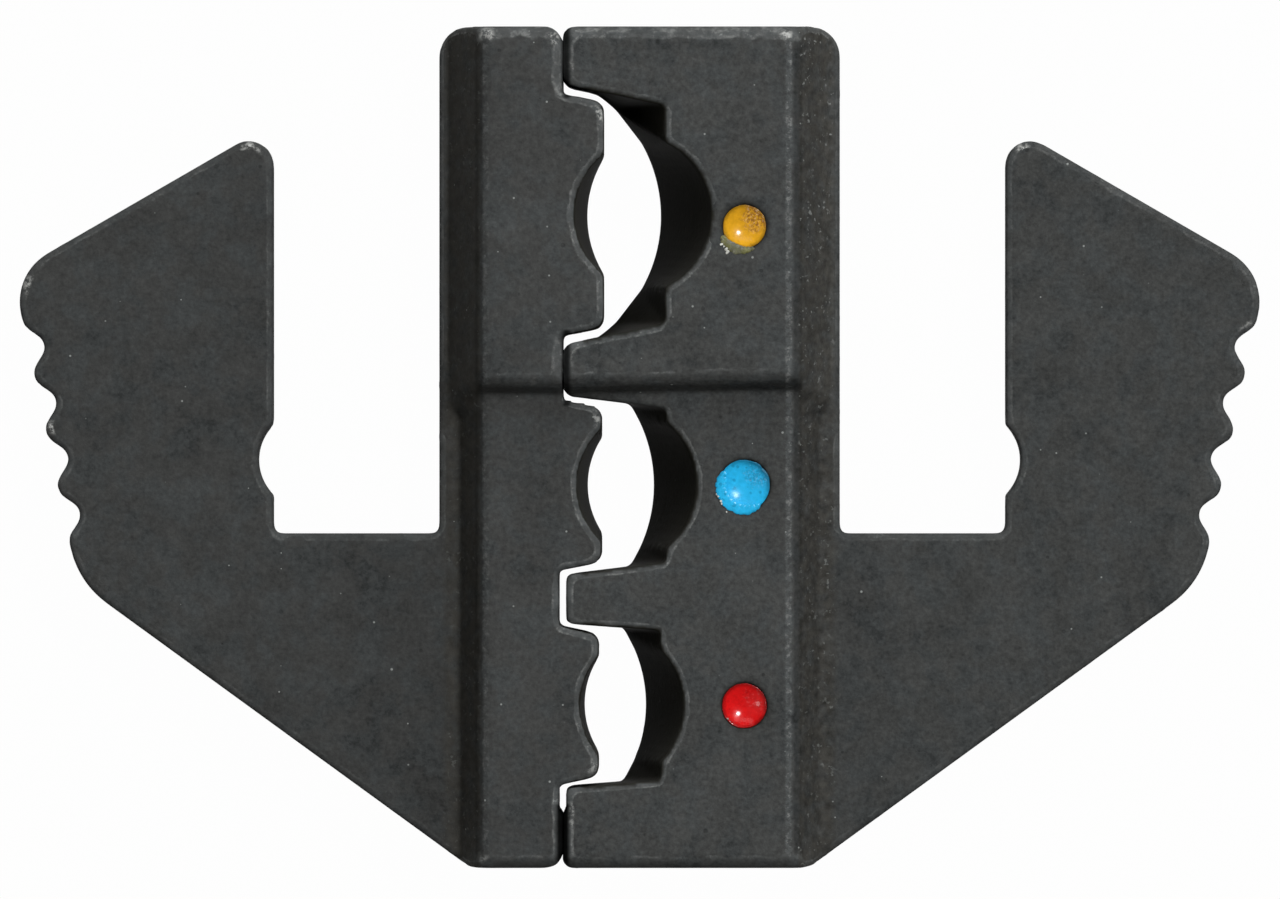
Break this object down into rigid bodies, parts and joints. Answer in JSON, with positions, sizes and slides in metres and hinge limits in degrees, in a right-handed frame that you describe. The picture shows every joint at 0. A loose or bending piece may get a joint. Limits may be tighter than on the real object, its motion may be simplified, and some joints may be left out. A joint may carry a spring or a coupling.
{
  "type": "crimp die set",
  "caption": "Pair of steel crimping dies with slotted wing plates, lobed indenters and flared nests for insulated terminals, marked by coloured paint spots.",
  "frame": {"origin": "middle of the closed set, at the height of the flat back faces it lies on", "axes": "+X across the parting line towards the nest half's finger grip, +Y along the parting line towards the yellow station, +Z from the conductor side to the insulation side"},
  "size_m": [0.056, 0.038, 0.0116],
  "materials": {
    "die_steel": "matte grey phosphated sintered steel, lighter on worn edges",
    "yellow_paint": "glossy dried enamel with a hollow top",
    "blue_paint": "satin dried enamel with a hollow top",
    "red_paint": "glossy dried enamel with a hollow top"
  },
  "bodies": {
    "nest_half": {"nest_die": "die_steel", "yellow_mark": "yellow_paint", "blue_mark": "blue_paint", "red_mark": "red_paint"},
    "indenter_half": {"indenter_die": "die_steel"}
  },
  "joints": [
    {"name": "die_travel", "type": "slide", "parent": "nest_half", "child": "indenter_half", "axis": [-1, 0, 0], "range_m": [0, 0.012]}
  ]
}
